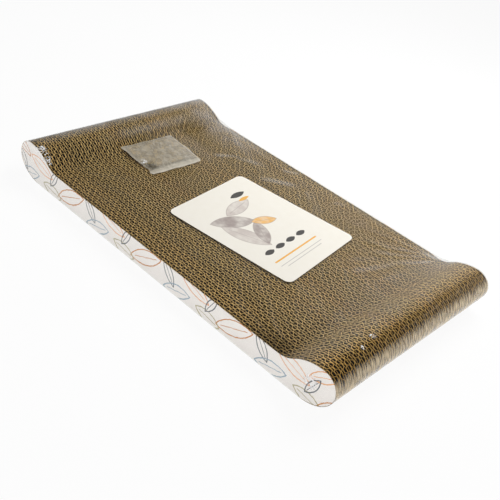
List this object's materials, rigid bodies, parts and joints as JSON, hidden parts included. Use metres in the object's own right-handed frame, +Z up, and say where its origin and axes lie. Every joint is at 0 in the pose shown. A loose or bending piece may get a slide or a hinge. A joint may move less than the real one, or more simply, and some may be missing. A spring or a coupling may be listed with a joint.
{
  "type": "cat scratcher lounge",
  "caption": "Low cat scratcher bed of corrugated board plies on edge, with rounded raised ends, printed side papers, a clear shrink wrap, a label and a catnip sachet.",
  "frame": {"origin": "centre of the footprint, on the surface the wrapped lounge lies on", "axes": "+X along the bed, away from the sachet; +Y across the plies, to the back paper; +Z up"},
  "size_m": [0.4432, 0.252, 0.0425],
  "materials": {
    "kraft_board": "matte",
    "printed_paper": "satin",
    "wrap_film": "gloss",
    "label_paper": "satin",
    "sachet_film": "gloss",
    "dried_herb": "matte"
  },
  "bodies": {
    "root": {"ply_01": "kraft_board", "ply_02": "kraft_board", "ply_03": "kraft_board", "ply_04": "kraft_board", "ply_05": "kraft_board", "ply_06": "kraft_board", "ply_07": "kraft_board", "ply_08": "kraft_board", "ply_09": "kraft_board", "ply_10": "kraft_board", "ply_11": "kraft_board", "ply_12": "kraft_board", "ply_13": "kraft_board", "ply_14": "kraft_board", "ply_15": "kraft_board", "ply_16": "kraft_board", "ply_17": "kraft_board", "ply_18": "kraft_board", "ply_19": "kraft_board", "ply_20": "kraft_board", "ply_21": "kraft_board", "ply_22": "kraft_board", "ply_23": "kraft_board", "ply_24": "kraft_board", "ply_25": "kraft_board", "ply_26": "kraft_board", "ply_27": "kraft_board", "ply_28": "kraft_board", "ply_29": "kraft_board", "ply_30": "kraft_board", "ply_31": "kraft_board", "ply_32": "kraft_board", "ply_33": "kraft_board", "ply_34": "kraft_board", "ply_35": "kraft_board", "ply_36": "kraft_board", "ply_37": "kraft_board", "ply_38": "kraft_board", "ply_39": "kraft_board", "ply_40": "kraft_board", "ply_41": "kraft_board", "ply_42": "kraft_board", "printed_paper_front": "printed_paper", "printed_paper_back": "printed_paper", "wrap_film_lower": "wrap_film", "wrap_film_upper": "wrap_film", "label": "label_paper", "sachet_back_film": "sachet_film", "sachet_front_film": "sachet_film", "sachet_zip": "sachet_film", "catnip": "dried_herb"}
  },
  "joints": []
}
